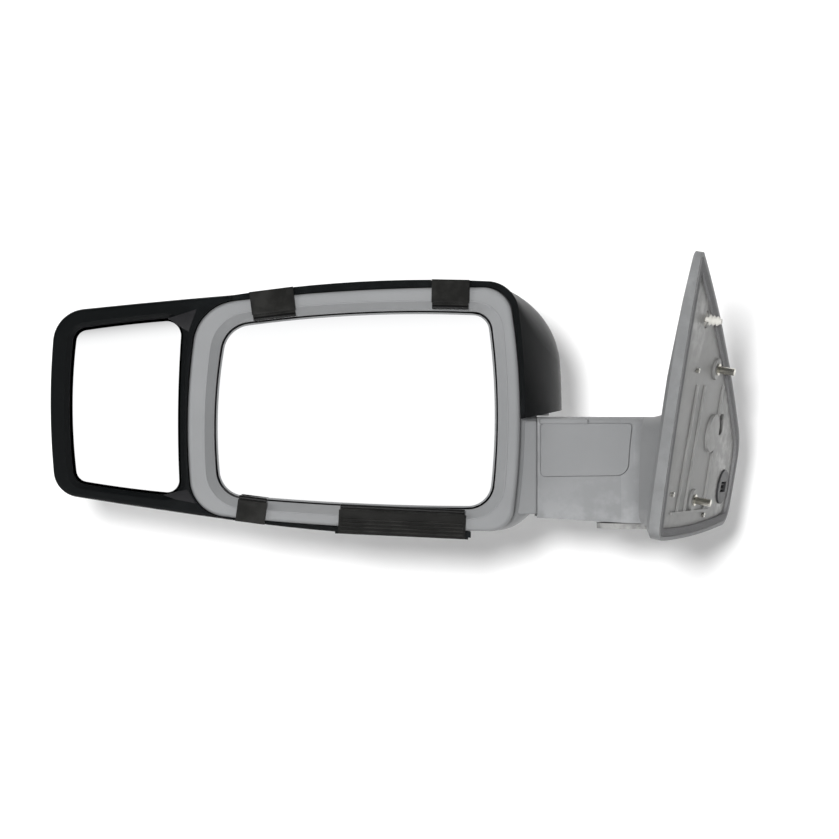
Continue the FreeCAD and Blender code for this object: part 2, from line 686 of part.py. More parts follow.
def make_clamp():
    """Long ribbed bar that grips the bezel's lower edge and swings down on a pin."""
    width = CLAMP_W
    back = BEZEL_BACK - CLIP_GAP - CLIP_T
    face = box((-width / 2, back, -CLAMP_H + 2), (width / 2, BEZEL_BACK - CLIP_GAP, CLIP_PROUD))
    under = box((-width / 2, back, -1.2), (width / 2, CLAMP_PIN_Y, CLIP_PROUD))
    lip = box((-width / 2 + 1, back + 1.1, -CLAMP_H - 2.2),
              (width / 2 - 1, BEZEL_BACK - CLIP_GAP, -CLAMP_H + 2))
    ribs = []
    for level in (-3.0, -6.0, -9.0, -12.0):
        ribs.append(tube(0.9, 0, Vector(-width / 2 + 2, back, level), width - 4, Vector(1, 0, 0)))
    barrel = clamp_rod(CLAMP_BARREL_R, width)
    bar = fuse([face, under, lip, barrel] + ribs).cut(clamp_rod(CLAMP_PIN_R + 0.06, width + 2))
    return at_clamp(bar)


def clamp_rod(radius, length):
    """Round bar of a length on the clamp's swing axis, before it is put in place."""
    return tube(radius, 0, Vector(-length / 2, CLAMP_PIN_Y, 0), length, Vector(1, 0, 0))


def at_clamp(shape):
    return clip_at(shape, CLAMP_X, edge_height(CLAMP_X, False), edge_slope(CLAMP_X, False), True)


def make_clamp_pin():
    return at_clamp(clamp_rod(CLAMP_PIN_R, CLAMP_W + 2 * CLAMP_LUG))


def add_clamp_hinge(shell):
    """Room in the shell for the clamp's barrel, and a lug at each end of its pin."""
    shell = shell.cut(at_clamp(clamp_rod(CLAMP_BARREL_R + 0.3, CLAMP_W + 0.6)))
    long_rod = clamp_rod(CLAMP_BARREL_R, CLAMP_W + 2 * CLAMP_LUG + 0.8)
    lugs = at_clamp(long_rod.cut(clamp_rod(CLAMP_BARREL_R + 1, CLAMP_W + 0.6)))
    return fuse([shell] + lugs.Solids).cut(make_clamp_pin())


def clip_pocket(clip):
    """A clip's own shape, slightly grown, to let it into the shell."""
    grown = clip.copy()
    pockets = []
    for step in ((0.25, 0, 0), (-0.25, 0, 0), (0, 0.25, 0), (0, 0, 0.25), (0, 0, -0.25)):
        pockets.append(grown.translated(Vector(*step)))
    return pockets[0].multiFuse(pockets[1:])


def make_shell_pads():
    """Foam pads between the shell and the housing."""
    between = housing_form(0)
    pads = []
    for x in (-90.0, 60.0):
        for z in (-30.0, 34.0):
            pads.append(tube(12, 0, Vector(x, 10, z), 60, Vector(0, 1, 0)))
    pads = Part.makeCompound(pads).common(shell_form(SHELL_WALL + 0.1, SHELL_BACK + LIP_T))
    return pads.cut(between)


# ---- arm (drawn in the part's own frame) ------------------------------------------------------
def pivot_point(z=0.0):
    return Vector(PIVOT_X, 0, z)


def arm_head_x():
    return HOUSING_INNER_END - HEAD_REACH


def arm_form(inset):
    """Outer form of the arm: a tall beam with a round root on the pivot's axis."""
    far = arm_head_x() + SEAM_GAP
    top = ARM_TOP - inset
    beam = box((far, -ARM_HALF_T + inset, -90), (PIVOT_X, ARM_HALF_T - inset, top))
    root = tube(ARM_ROOT_R - inset, 0, pivot_point(-90), top + 90, Vector(0, 0, 1))
    form = beam.fuse(root).removeSplitter()
    fall = (ARM_BOTTOM_ROOT - ARM_BOTTOM_HEAD) / (PIVOT_X - far)
    low = ARM_BOTTOM_ROOT + inset
    form = form.cut(half_space(Vector(PIVOT_X, 0, low), Vector(fall, 0, -1)))
    form = form.cut(half_space(Vector(PIVOT_X, 0, low), Vector(0, 0, -1)))
    radius = max(ARM_EDGE_R - inset, 1.0)
    top_edges = [edge for edge in form.Edges if abs(edge.BoundBox.ZMin - top) < 1e-4
                 and abs(edge.BoundBox.ZMax - top) < 1e-4 and edge.BoundBox.XMax > far + 1]
    return form.makeFillet(radius, top_edges)


def arm_panel_form(back, front, grow):
    far = arm_head_x()
    top = ARM_TOP - ARM_EDGE_R + 1.5
    low = top - PANEL_H
    corners = [(far + 3, top), (PIVOT_X + 2, top), (PIVOT_X - 1.5, low), (far + 3, low - 1)]
    return slab(outline(corners, [0, -0.6, 0, 0], [3, 3, 10, 4], 0, grow), back, front)


def make_arm_covers():
    shell = arm_form(0).cut(arm_form(ARM_WALL))
    far = arm_head_x()
    shell = shell.cut(box((far - 5, -ARM_HALF_T + 8, -90), (far + 8, ARM_HALF_T - 8, ARM_TOP - 8)))
    shell = shell.cut(tube(DETENT_R + 0.6, 0, pivot_point(-80), 20, Vector(0, 0, 1)))
    window = box((PIVOT_X, -12, HUB_TOP + 20), (PIVOT_X + 60, 12, -14))
    shell = shell.cut(window)
    rear = largest(shell.common(box((-400, -90, -120), (100, -SEAM_GAP / 2, 60))))
    front = largest(shell.common(box((-400, SEAM_GAP / 2, -120), (100, 90, 60))))
    recess = arm_panel_form(-ARM_HALF_T - 5, -ARM_HALF_T + PANEL_T - PANEL_PROUD, 0.35)
    return rear.cut(recess), front


def make_arm_panel():
    """Inset panel on the arm's rear face, a little proud of it."""
    back = -ARM_HALF_T - PANEL_PROUD
    panel = arm_panel_form(back, back + PANEL_T, 0)
    rim = [edge for edge in panel.Edges if abs(edge.BoundBox.YMax - back) < 1e-4]
    panel = panel.makeFillet(0.8, rim)
    return panel.cut(tube(ARM_ROOT_R + 60, ARM_ROOT_R + PANEL_PROUD, pivot_point(-90), 120, Vector(0, 0, 1))
                     .common(box((PIVOT_X, -90, -90), (100, 90, 90))))


def make_arm_core():
    """Cast core: a hub on the post, a beam through the arm and a flange on the head frame."""
    hub = tube(HUB_R, 0, pivot_point(hub_bottom()), HUB_TOP - hub_bottom(), Vector(0, 0, 1))
    far = arm_head_x() - 34
    beam = box((far, -9, hub_bottom() + 8), (PIVOT_X - HUB_R - 3, 9, 2))
    web = box((PIVOT_X - HUB_R - 6, -9, hub_bottom()), (PIVOT_X, 9, HUB_TOP))
    flange_x = arm_head_x() - 30
    flange = box((flange_x - 8, ACTUATOR_FRONT - 24, -48), (flange_x + 26, ACTUATOR_FRONT - 0.2, 2))
    core = fuse([hub, web, beam, flange])
    lighten = box((far + 30, -20, -44), (PIVOT_X - HUB_R - 14, -4, -14))
    core = core.cut(lighten)
    for place in arm_screw_places():
        core = core.cut(tube(2.4, 0, place - Vector(0, 17, 0), 20, Vector(0, 1, 0)))
    return core.cut(tube(POST_R + RUNNING_GAP, 0, pivot_point(-90), 80, Vector(0, 0, 1)))


def hub_bottom():
    return ARM_BOTTOM_ROOT + DETENT_T * 2 + DETENT_GAP


def make_post():
    """Hollow post, pressed into the base's foot, with the wires' way through it."""
    post = tube(POST_R, POST_BORE_R, pivot_point(FOOT_BOTTOM), POST_TOP - FOOT_BOTTOM, Vector(0, 0, 1))
    groove = tube(POST_R + 1, POST_R - 1.2, pivot_point(POST_TOP - 3), 1.5, Vector(0, 0, 1))
    return post.cut(groove)


def detent_ring(low, notch_side):
    ring = tube(DETENT_R, POST_R + 0.02, pivot_point(low), DETENT_T, Vector(0, 0, 1))
    notches = []
    for angle in (0, 120, 240):
        spot = pivot_point(notch_side)
        reach = Vector(math.cos(math.radians(angle)), math.sin(math.radians(angle)), 0)
        notches.append(tube(2.2, 0, spot + reach * (POST_R + 0.8), DETENT_R - POST_R - 1.6, reach))
    return ring, notches


def make_detents():
    low = ARM_BOTTOM_ROOT
    ring, notches = detent_ring(low, low + DETENT_T + 1.0)
    lower = ring.cut(Part.makeCompound(notches))
    high = low + DETENT_T + DETENT_GAP
    ring, bumps = detent_ring(high, high + 0.9)
    bore = tube(DETENT_R, POST_R + RUNNING_GAP, pivot_point(high - 3), DETENT_T + 3, Vector(0, 0, 1))
    upper = ring.multiFuse(bumps).common(bore)
    return lower, largest(upper.removeSplitter())


def make_spring():
    bottom = HUB_TOP + 0.4 + SPRING_WIRE / 2
    top = retainer_bottom() - SPRING_WIRE / 2 - 0.2
    pitch = (top - bottom) / SPRING_TURNS
    helix = Part.makeHelix(pitch, top - bottom, SPRING_R)
    start = helix.Edges[0].valueAt(helix.Edges[0].FirstParameter)
    profile = Part.Wire(Part.makeCircle(SPRING_WIRE / 2, start, Vector(0, 1, 0.05)))
    coil = Part.Wire(helix).makePipeShell([profile], True, True)
    coil.Placement = Placement(pivot_point(bottom), Rotation())
    return coil


def retainer_bottom():
    return POST_TOP - 1.5 - 1.5 - RETAINER_T


def make_retainer():
    """Pressed washer on top of the spring, held by a snap ring in the post's groove."""
    return tube(RETAINER_R, POST_R + 0.02, pivot_point(retainer_bottom()), RETAINER_T, Vector(0, 0, 1))


def make_snap_ring():
    ring = tube(POST_R + 2.2, POST_R - 1.1, pivot_point(POST_TOP - 2.95), 1.4, Vector(0, 0, 1))
    gap = box((PIVOT_X, -1.5, 0), (PIVOT_X + 20, 1.5, 10))
    return ring.cut(gap)


def arm_screw_places():
    front = ACTUATOR_FRONT + FRAME_T
    return [Vector(arm_head_x() - 22, front, z) for z in (-36.0, -10.0)]


def make_arm_screws():
    return Part.makeCompound([screw(place, Vector(0, -1, 0), 4.4, 2.4, 16)
                              for place in arm_screw_places()])


# ---- door base (forward, outboard, up, then placed on the door) ------------------------------
def door_placement():
    turn = Rotation(Vector(0, 0, 1), 90.0 - DOOR_TURN)
    lean = Rotation(Vector(1, 0, 0), DOOR_LEAN)
    return Placement(Vector(), turn.multiply(lean))


def on_door(shape):
    placed = shape.copy()
    placed.Placement = door_placement().multiply(placed.Placement)
    return placed


def door_normal():
    """The way out of the door's side of the base, towards the cab."""
    return door_placement().Rotation.multVec(Vector(0, -1, 0))


def sail_outline(depth, grow=0.0):
    corners = [(SAIL_TIP_REAR, SAIL_APEX), (SAIL_FRONT, SAIL_FRONT_TOP),
               (SAIL_FRONT, SAIL_BOTTOM + 8), (SAIL_REAR, SAIL_BOTTOM)]
    return outline(corners, [8.0, 1.0, 3.5, 5.0], [6, SAIL_FRONT_R, 16, 14], depth, grow)


def boss_outline(depth, rear, front, top, bottom, radius, grow):
    corners = [(rear, top), (front, top), (front, bottom), (rear, bottom)]
    return outline(corners, [1, 1, 1, 1], [radius] * 4, depth, grow)


def sail_form(inset):
    skin = loft([sail_outline(0.3, -inset), sail_outline(SAIL_DEPTH - 4 - inset, -inset)], True)
    skin = skin.fuse(loft([sail_outline(SAIL_DEPTH - 4 - inset, -inset),
                           sail_outline(SAIL_DEPTH - inset, -inset - 5)], True))
    thinning = Vector(0, SAIL_APEX - SAIL_TAPER_FROM, SAIL_DEPTH - SAIL_TIP_DEPTH)
    skin = skin.cut(half_space(Vector(0, SAIL_DEPTH - inset, SAIL_TAPER_FROM), thinning))
    sections = [boss_outline(*section, -inset) for section in BOSS_SECTIONS[:-1]]
    crown, *rest = BOSS_SECTIONS[-1]
    boss = loft(sections + [boss_outline(crown - inset, *rest, -inset)])
    return skin, boss


def saddle_tool(grow):
    return tube(ARM_ROOT_R + SADDLE_GAP + grow, 0, pivot_point(-140), 300, Vector(0, 0, 1))


def saddle_dir():
    """Level direction from the pivot towards the door."""
    out = door_normal()
    return Vector(out.x, out.y, 0).normalize()


def saddle_stop(further=0.0):
    """Everything further outboard than the ends of the saddle."""
    flat = saddle_dir()
    return half_space(pivot_point() + flat * (SADDLE_REACH + further), flat * -1)


def below(z):
    return half_space(Vector(0, 0, z), Vector(0, 0, -1))


def foot_form(grow):
    """Round foot under the arm's root and the web that carries it from the base."""
    low = FOOT_BOTTOM - grow
    high = ARM_BOTTOM_ROOT - SEAM_GAP + grow
    disc = tube(FOOT_R + grow, 0, pivot_point(low), high - low, Vector(0, 0, 1))
    web = Part.makeBox(52, 40 + 2 * grow, high - low, Vector(0, -20 - grow, 0))
    web.Placement = Placement(pivot_point(low), Rotation(Vector(1, 0, 0), saddle_dir()))
    return disc.fuse(web).removeSplitter()


def clear_of_arm(shape, clearance):
    """Take away the space that the arm needs at and near both ends of its fold."""
    form = arm_form(-clearance)
    for angle in (FOLD_REAR, FOLD_REAR - 14.0, 14.0 - FOLD_FRONT, -FOLD_FRONT):
        turned = form.copy()
        turned.rotate(pivot_point(), Vector(0, 0, 1), angle)
        shape = shape.cut(turned)
    return shape


def make_cover():
    skin, boss = sail_form(0)
    outer = on_door(skin).fuse(on_door(boss).cut(saddle_stop())).cut(below(COVER_BOTTOM))
    outer = clear_of_arm(outer.cut(saddle_tool(0)), FOLD_CLEAR)
    skin, boss = sail_form(SAIL_WALL)
    boss = on_door(boss).cut(saddle_stop(SAIL_WALL))
    inner = on_door(skin).fuse(boss).cut(saddle_tool(SAIL_WALL)).cut(below(COVER_BOTTOM + SAIL_WALL))
    inner = clear_of_arm(inner, FOLD_CLEAR + SAIL_WALL)
    mouth = on_door(slab(sail_outline(0, -SAIL_WALL), -2, SAIL_WALL + 1))
    cover = outer.cut(inner).cut(mouth)
    return largest(cover.cut(foot_form(0.4)))


def make_gasket():
    outer = slab(sail_outline(0, -SAIL_WALL - FIT_GAP), 0.0, GASKET_T)
    return on_door(outer.cut(slab(sail_outline(0, -SAIL_WALL - FIT_GAP - GASKET_W), -1, GASKET_T + 1)))


def make_bracket(cover):
    """Cast bracket inside the base: plate, ribs, stud bosses, centre pad and the arm's foot."""
    low = GASKET_T + 0.1
    plate = slab(sail_outline(0, -SAIL_WALL - 0.6), low, low + BRACKET_T)
    parts = [plate]
    for forward, up in STUDS:
        parts.append(tube(STUD_BOSS_R, 0, Vector(forward, FIT_GAP, up), STUD_BOSS_T, Vector(0, 1, 0)))
    parts.append(tube(PAD_R, 0, Vector(0, 0, 0), low + 1, Vector(0, 1, 0)))
    half = BRACKET_RIB_T / 2
    for forward in BRACKET_RIBS:
        parts.append(box((forward - half, 2 * FIT_GAP, BRACKET_RIB_LOW),
                         (forward + half, low + 1, BRACKET_RIB_TOP)))
    parts.append(box((BRACKET_RIBS[0] - PAD_R, 2 * FIT_GAP, BRACKET_RIB_LOW - half),
                     (BRACKET_RIBS[-1] + PAD_R, low + 1, BRACKET_RIB_LOW + half)))
    rib_end = sail_outline(0, -SAIL_WALL - GASKET_W - 2)
    bracket = fuse(parts)
    keep = slab(rib_end, -1, low + 0.01).fuse(slab(sail_outline(0, -SAIL_WALL - 0.6), low, 60))
    bracket = bracket.common(keep)
    for place, radius in ((CLIP_PLACE, CLIP_HEAD_R), (CONNECTOR_PLACE, PLUG_R)):
        bracket = bracket.cut(tube(radius + FIT_GAP, 0, Vector(place[0], -1, place[1]), 30,
                                   Vector(0, 1, 0)))
    slot = slab(outline(SLOT_CORNERS, [0] * 4, [SLOT_R] * 4, 0), -1, 30)
    bracket = bracket.cut(slot)
    for forward, up in STUDS:
        bracket = bracket.cut(tube(STUD_R, 0, Vector(forward, -1, up), 8.4, Vector(0, 1, 0)))
    bracket = on_door(bracket)
    block = on_door(box((-46, low, -72), (-6, 40, -40))).cut(saddle_tool(SAIL_WALL + 0.6))
    block = block.cut(saddle_stop())
    bracket = fuse([bracket, block.cut(below(FOOT_BOTTOM)), foot_in_base()])
    bracket = bracket.cut(tube(POST_R, 0, pivot_point(-100), 60, Vector(0, 0, 1)))
    bracket = bracket.cut(on_door(slab(sail_outline(0, 5), -80, 0.0)))
    return largest(bracket.cut(cover).cut(make_base_screws()).cut(Part.makeCompound(make_studs())))


def foot_in_base():
    """The foot, kept off the door side of the plate."""
    low = GASKET_T + 0.1
    return foot_form(0).cut(on_door(box((-400, -400, -400), (400, low, 400))))


def make_studs():
    studs = []
    for forward, up in STUDS:
        thread = tube(STUD_R, 0, Vector(forward, STUD_SUNK, up), STUD_OUT + STUD_SUNK, Vector(0, -1, 0))
        collar = tube(STUD_COLLAR_R, STUD_R, Vector(forward, FIT_GAP, up), STUD_COLLAR_T, Vector(0, -1, 0))
        studs.append(on_door(fuse([thread, collar])))
    return studs


def make_push_clip():
    """Push-in clip with barbed ribs that holds the top of the sail."""
    forward, up = CLIP_PLACE
    axis = Vector(0, -1, 0)
    parts = [tube(CLIP_HEAD_R, 0, Vector(forward, CLIP_HEAD_AT, up), 2.0, axis),
             tube(2.2, 0, Vector(forward, CLIP_HEAD_AT, up), CLIP_STEM, axis)]
    for step in range(3):
        start = Vector(forward, -0.2 - step * 3.0, up)
        parts.append(Part.makeCone(4.6 - step * 0.25, 2.4, 2.4, start, axis))
    return on_door(fuse(parts))


def make_connector():
    """Plug housing of the mirror's wiring, open towards the door."""
    forward, up = CONNECTOR_PLACE
    half_w, half_h = PLUG_W / 2, PLUG_H / 2
    mouth_w, mouth_h = half_w - PLUG_WALL, half_h - PLUG_WALL
    flange = tube(PLUG_R, 0, Vector(forward, 1.0, up), 2.2, Vector(0, 1, 0))
    barrel = box((forward - half_w, 3.0, up - half_h), (forward + half_w, 7.4, up + half_h))
    body = flange.fuse(barrel).removeSplitter()
    body = body.cut(box((forward - mouth_w, -5, up - mouth_h), (forward + mouth_w, 6.0, up + mouth_h)))
    pins = [tube(0.7, 0, Vector(forward + dx, 6.2, up + dz), 4.0, Vector(0, -1, 0))
            for dx in (-5, -2.5, 0, 2.5, 5) for dz in (-2, 2)]
    return on_door(fuse([body] + pins))


def make_base_screws():
    low = GASKET_T + 0.1
    return Part.makeCompound([on_door(screw(Vector(f, low, u), Vector(0, 1, 0), 2.0, 1.2, 4.0))
                              for f, u in BASE_SCREWS])


# ---- assembly ------------------------------------------------------------------------------
def on_head(shape):
    return shape.translated(Vector(-HEAD_REACH, 0, HEAD_RISE))


def head_pieces():
    outer_clip = make_top_clip(-69.7, OUTER_CLIP_W)
    inner_clip = make_top_clip(77.4, INNER_CLIP_W)
    bottom_clip = make_bottom_clip()
    clamp = make_clamp()
    shell = fuse([make_shell()] + make_spotter_bosses())
    for piece in (outer_clip, inner_clip, bottom_clip, clamp):
        shell = shell.cut(clip_pocket(piece))
    shell = add_clamp_hinge(shell)
    middle = spotter_middle()
    return {
        "mirror_bezel": make_bezel(),
        "mirror_housing": make_housing(),
        "head_frame": make_head_frame(),
        "head_frame_screws": make_frame_screws(),
        "glass_actuator": make_actuator(),
        "actuator_motors": make_motors(),
        "actuator_screws": make_actuator_screws(),
        "pan_jackscrew": make_jackscrew(PAN_LEVER, 0),
        "tilt_jackscrew": make_jackscrew(0, -TILT_LEVER),
        "glass_pivot_ball": make_ball(0, PIVOT_PLANE, 0),
        "glass_backing": make_main_backing(),
        "glass_heater": make_heater(),
        "main_glass": make_main_glass(),
        "tow_shell": largest(shell),
        "shell_pads": make_shell_pads(),
        "spotter_bezel": make_spotter_bezel(),
        "spotter_bracket": make_spotter_bracket(),
        "spotter_screws": make_spotter_screws(),
        "spotter_pivot_ball": make_ball(middle.x, middle.y, middle.z),
        "spotter_backing": make_spotter_backing(),
        "spotter_claw_ring": make_claw_ring(middle),
        "spotter_glass": make_spotter_glass(),
        "top_clip_outer": outer_clip,
        "top_clip_inner": inner_clip,
        "bottom_clip": bottom_clip,
        "lower_clamp": clamp,
        "clamp_pin": make_clamp_pin(),
    }


def arm_and_base_pieces():
    cover = make_cover()
    rear_cover, front_cover = make_arm_covers()
    lower_ring, upper_ring = make_detents()
    studs = make_studs()
    return {
        "arm_rear_cover": rear_cover,
        "arm_front_cover": front_cover,
        "arm_rear_panel": make_arm_panel(),
        "arm_core": make_arm_core(),
        "arm_screws": make_arm_screws(),
        "detent_ring_upper": upper_ring,
        "detent_ring_lower": lower_ring,
        "pivot_post": make_post(),
        "fold_spring": make_spring(),
        "spring_retainer": make_retainer(),
        "snap_ring": make_snap_ring(),
        "base_bracket": make_bracket(cover),
        "base_cover": cover,
        "base_gasket": make_gasket(),
        "base_screws": make_base_screws(),
        "door_studs": Part.makeCompound(studs),
        "sail_push_clip": make_push_clip(),
        "wiring_connector": make_connector(),
    }


def main():
    os.makedirs("parts", exist_ok=True)
    pieces = {name: on_head(shape) for name, shape in head_pieces().items()}
    pieces.update(arm_and_base_pieces())
    for name, shape in pieces.items():
        state = "" if shape.isValid() else "  NOT VALID"
        print("%-20s %2d solids %9.1f mm3%s" % (name, len(shape.Solids), shape.Volume, state))
        shape.exportStep("parts/%s.step" % name)


main()
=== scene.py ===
"""Looks of the door mirror with its clip-on towing extension: finishes, small pieces, light."""
import bmesh
import bpy
import json
import math
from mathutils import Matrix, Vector


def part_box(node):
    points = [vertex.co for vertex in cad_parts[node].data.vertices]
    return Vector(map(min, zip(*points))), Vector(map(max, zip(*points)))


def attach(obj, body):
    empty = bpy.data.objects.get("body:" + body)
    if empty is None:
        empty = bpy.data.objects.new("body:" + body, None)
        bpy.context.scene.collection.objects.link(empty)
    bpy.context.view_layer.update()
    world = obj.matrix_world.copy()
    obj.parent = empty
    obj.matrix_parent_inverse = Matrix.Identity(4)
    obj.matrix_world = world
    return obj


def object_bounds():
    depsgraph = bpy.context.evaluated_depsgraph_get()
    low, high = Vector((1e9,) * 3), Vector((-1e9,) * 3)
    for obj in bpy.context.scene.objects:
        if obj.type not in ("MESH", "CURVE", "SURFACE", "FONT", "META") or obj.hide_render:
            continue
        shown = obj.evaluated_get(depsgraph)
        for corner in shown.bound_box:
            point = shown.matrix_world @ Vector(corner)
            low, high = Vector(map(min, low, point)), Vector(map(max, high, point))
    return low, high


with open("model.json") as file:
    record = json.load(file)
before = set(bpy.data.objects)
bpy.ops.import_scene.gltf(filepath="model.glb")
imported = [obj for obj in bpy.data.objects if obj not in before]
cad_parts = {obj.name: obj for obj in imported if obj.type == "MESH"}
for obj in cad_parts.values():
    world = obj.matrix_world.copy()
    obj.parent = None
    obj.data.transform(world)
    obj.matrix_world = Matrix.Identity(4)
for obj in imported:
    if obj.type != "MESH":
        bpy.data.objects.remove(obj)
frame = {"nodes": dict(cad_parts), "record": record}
cad_box = [list(corner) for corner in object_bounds()]
nodes = frame["nodes"]

# ---- driving places, from the frame ---------------------------------------------------------
BEZEL_LOW, BEZEL_HIGH = [Vector(corner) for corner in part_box("mirror_bezel")]
MIDDLE = (Vector(cad_box[0]) + Vector(cad_box[1])) * 0.5

CAMERA_BACK = 2.3           # from the bezel's rear face
FRAME_WIDTH = 0.6875        # what the picture takes in at the bezel
AIM_ASIDE = 0.0539          # picture's middle against the middle of the bezel
AIM_LIFT = -0.0084
BACKDROP_GAP = 0.13         # wall behind the object
FLOOR_GAP = 0.36            # floor under it
WALL_SIZE = 1.9
FLOOR_SIZE = 6.0
SENSOR_W = 36.0
FLAT_TOL = 0.0002           # faces this near a node's rearmost level belong to its flat
STRAP_FACE_T = 0.0035       # how deep a clip's rear face reaches


# ---- node helpers ---------------------------------------------------------------------------
class Tree:
    """Short words for building a node tree."""

    def __init__(self, tree):
        self.tree = tree
        self.column = 0

    def add(self, kind, **settings):
        node = self.tree.nodes.new(kind)
        self.column += 1
        node.location = (self.column * 190, 0)
        for name, value in settings.items():
            setattr(node, name, value)
        return node

    def join(self, start, end):
        self.tree.links.new(start, end)

    def maths(self, operation, first, second=None, clamp=False):
        node = self.add("ShaderNodeMath", operation=operation, use_clamp=clamp)
        for socket, value in zip(node.inputs, (first, second)):
            self.feed(socket, value)
        return node.outputs[0]

    def feed(self, socket, value):
        if value is None:
            return
        if isinstance(value, bpy.types.NodeSocket):
            self.join(value, socket)
        else:
            socket.default_value = value

    def noise(self, place, scale, detail=2.0, rough=0.5):
        node = self.add("ShaderNodeTexNoise")
        self.join(place, node.inputs["Vector"])
        node.inputs["Detail"].default_value = detail
        node.inputs["Roughness"].default_value = rough
        self.feed(node.inputs["Scale"], scale)
        return node.outputs["Fac"]

    def spread(self, value, low, high, to_low, to_high):
        node = self.add("ShaderNodeMapRange")
        self.feed(node.inputs["Value"], value)
        for name, limit in (("From Min", low), ("From Max", high), ("To Min", to_low), ("To Max", to_high)):
            self.feed(node.inputs[name], limit)
        return node.outputs["Result"]

    def mix(self, factor, first, second):
        node = self.add("ShaderNodeMix", data_type="RGBA")
        self.feed(node.inputs[0], factor)
        self.feed(node.inputs[6], first)
        self.feed(node.inputs[7], second)
        return node.outputs[2]


def new_group(name, inputs, outputs):
    """Empty node group with named sockets, each (name, socket type, default)."""
    tree = bpy.data.node_groups.new(name, "ShaderNodeTree")
    for label, kind, value in inputs:
        socket = tree.interface.new_socket(label, in_out="INPUT", socket_type=kind)
        if value is not None:
            socket.default_value = value
    for label, kind in outputs:
        tree.interface.new_socket(label, in_out="OUTPUT", socket_type=kind)
    build = Tree(tree)
    return build, build.add("NodeGroupInput"), build.add("NodeGroupOutput")


def moulded_grain_group():
    """Leathery mould grain with a slow drift in tone: a height and a tone value."""
    build, given, out = new_group(
        "moulded grain",
        [("Grain Scale", "NodeSocketFloat", 900.0), ("Drift Scale", "NodeSocketFloat", 9.0)],
        [("Height", "NodeSocketFloat"), ("Tone", "NodeSocketFloat")])
    place = build.add("ShaderNodeTexCoord").outputs["Object"]
    cells = build.add("ShaderNodeTexVoronoi", feature="SMOOTH_F1")
    build.join(place, cells.inputs["Vector"])
    build.join(given.outputs["Grain Scale"], cells.inputs["Scale"])
    fine = build.noise(place, given.outputs["Grain Scale"], 3.0, 0.6)
    height = build.maths("ADD", build.maths("MULTIPLY", cells.outputs["Distance"], 0.7), fine)
    drift = build.noise(place, given.outputs["Drift Scale"], 4.0, 0.55)
    build.join(height, out.inputs["Height"])
    build.join(build.spread(drift, 0.3, 0.7, 0.0, 1.0), out.inputs["Tone"])
    return build.tree


def edge_wear_group():
    """Mask of raised edges, broken up so that the wear is uneven."""
    build, given, out = new_group(
        "edge wear",
        [("Sharpness", "NodeSocketFloat", 0.54), ("Break Up", "NodeSocketFloat", 60.0)],
        [("Mask", "NodeSocketFloat")])
    point = build.add("ShaderNodeNewGeometry").outputs["Pointiness"]
    edge = build.spread(point, given.outputs["Sharpness"], 0.62, 0.0, 1.0)
    place = build.add("ShaderNodeTexCoord").outputs["Object"]
    patch = build.spread(build.noise(place, given.outputs["Break Up"], 4.0, 0.6), 0.42, 0.62, 0.0, 1.0)
    build.join(build.maths("MULTIPLY", edge, patch, True), out.inputs["Mask"])
    return build.tree


def dust_group():
    """Thin dust that lies on what faces up, and in patches elsewhere."""
    build, given, out = new_group(
        "settled dust",
        [("Amount", "NodeSocketFloat", 0.15)],
        [("Mask", "NodeSocketFloat")])
    normal = build.add("ShaderNodeNewGeometry").outputs["Normal"]
    split = build.add("ShaderNodeSeparateXYZ")
    build.join(normal, split.inputs[0])
    up = build.spread(split.outputs["Z"], 0.2, 1.0, 0.15, 1.0)
    place = build.add("ShaderNodeTexCoord").outputs["Object"]
    cloud = build.spread(build.noise(place, 34.0, 6.0, 0.65), 0.45, 0.75, 0.0, 1.0)
    mask = build.maths("MULTIPLY", build.maths("MULTIPLY", up, cloud), given.outputs["Amount"], True)
    build.join(mask, out.inputs["Mask"])
    return build.tree


def brushed_group():
    """Fine parallel lines, as left by rolling, grinding or turning."""
    build, given, out = new_group(
        "drawn lines",
        [("Stretch", "NodeSocketVector", (40.0, 900.0, 900.0))],
        [("Height", "NodeSocketFloat")])
    place = build.add("ShaderNodeTexCoord").outputs["Object"]
    scaled = build.add("ShaderNodeVectorMath", operation="MULTIPLY")
    build.join(place, scaled.inputs[0])
    build.join(given.outputs["Stretch"], scaled.inputs[1])
    build.join(build.noise(scaled.outputs[0], 1.0, 3.0, 0.6), out.inputs["Height"])
    return build.tree


GRAIN = moulded_grain_group()
WEAR = edge_wear_group()
DUST = dust_group()
LINES = brushed_group()


class Finish(Tree):
    """A material with one Principled shader, built up from the shared groups."""

    def __init__(self, name, roughness, metallic=0.0, specular=0.5):
        self.material = bpy.data.materials.new(name)
        self.material.use_nodes = True
        super().__init__(self.material.node_tree)
        self.shader = self.tree.nodes["Principled BSDF"]
        self.shader.inputs["Roughness"].default_value = roughness
        self.shader.inputs["Metallic"].default_value = metallic
        self.shader.inputs["Specular IOR Level"].default_value = specular

    def group(self, tree, **values):
        node = self.add("ShaderNodeGroup", node_tree=tree)
        for name, value in values.items():
            node.inputs[name.replace("_", " ")].default_value = value
        return node

    def colour(self, socket):
        self.join(socket, self.shader.inputs["Base Color"])

    def roughness(self, socket):
        self.join(socket, self.shader.inputs["Roughness"])

    def bump(self, height, depth, strength=1.0):
        node = self.add("ShaderNodeBump")
        node.inputs["Strength"].default_value = strength
        node.inputs["Distance"].default_value = depth
        self.join(height, node.inputs["Height"])
        self.join(node.outputs["Normal"], self.shader.inputs["Normal"])


